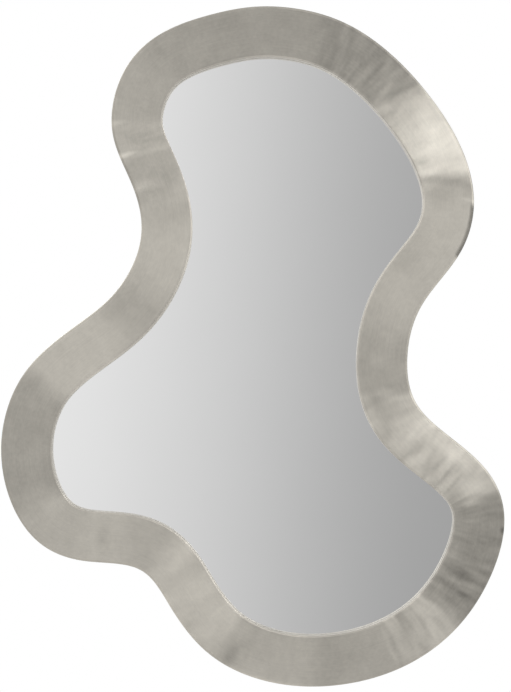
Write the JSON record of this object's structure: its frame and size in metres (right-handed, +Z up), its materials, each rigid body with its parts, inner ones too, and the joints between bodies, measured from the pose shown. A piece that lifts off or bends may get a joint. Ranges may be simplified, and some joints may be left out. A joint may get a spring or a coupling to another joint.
{
  "type": "irregular shaped wall mirror",
  "caption": "Pebble-shaped wall mirror with a broad flat brushed metal band round a set-back glass, a fibreboard core and swinging hanger rings behind.",
  "frame": {"origin": "in the plane of the wall, in the middle of the outline's width and height", "axes": "+X to the right as seen from the front, +Y from the mirror's front to the wall, +Z up as it hangs"},
  "size_m": [0.676, 0.0303, 0.914],
  "materials": {
    "brushed_band": "brushed along the band, satin, warm grey",
    "brushed_strip": "brushed, satin, warm grey",
    "fibreboard": "raw medium-density fibreboard",
    "foam_tape": "closed-cell foam tape",
    "mirror_glass": "polished clear glass, silvered behind",
    "silver_coating": "grey backing paint over silver",
    "foam_sheet": "white foam sheet",
    "black_panel": "fibreboard, painted black, matte",
    "zinc_screws": "zinc plated",
    "hanger_steel": "zinc plated, stamped",
    "ring_steel": "bright zinc-plated wire",
    "bumper_rubber": "moulded, matte"
  },
  "bodies": {
    "mirror": {"face_sheet": "brushed_band", "edge_strip": "brushed_strip", "lining_strip": "brushed_strip", "core_ring": "fibreboard", "spacer_ring": "fibreboard", "glass_gasket": "foam_tape", "mirror_glass": "mirror_glass", "silver_coating": "silver_coating", "foam_sheet": "foam_sheet", "back_panel": "black_panel", "panel_screws": "zinc_screws", "strip_tacks": "zinc_screws", "left_strap": "hanger_steel", "right_strap": "hanger_steel", "left_strap_screws": "zinc_screws", "right_strap_screws": "zinc_screws", "top_left_bumper": "bumper_rubber", "top_right_bumper": "bumper_rubber", "bottom_left_bumper": "bumper_rubber", "bottom_right_bumper": "bumper_rubber"},
    "left_ring": {"left_d_ring": "ring_steel"},
    "right_ring": {"right_d_ring": "ring_steel"}
  },
  "joints": [
    {"name": "left_ring_swing", "type": "hinge", "parent": "mirror", "child": "left_ring", "pos_m": [-0.13111, -0.00515, 0.23764], "axis": [1, 0, 0], "range_deg": [0, 178]},
    {"name": "right_ring_swing", "type": "hinge", "parent": "mirror", "child": "right_ring", "pos_m": [0.25092, -0.00515, 0.23764], "axis": [1, 0, 0], "range_deg": [0, 178]}
  ]
}
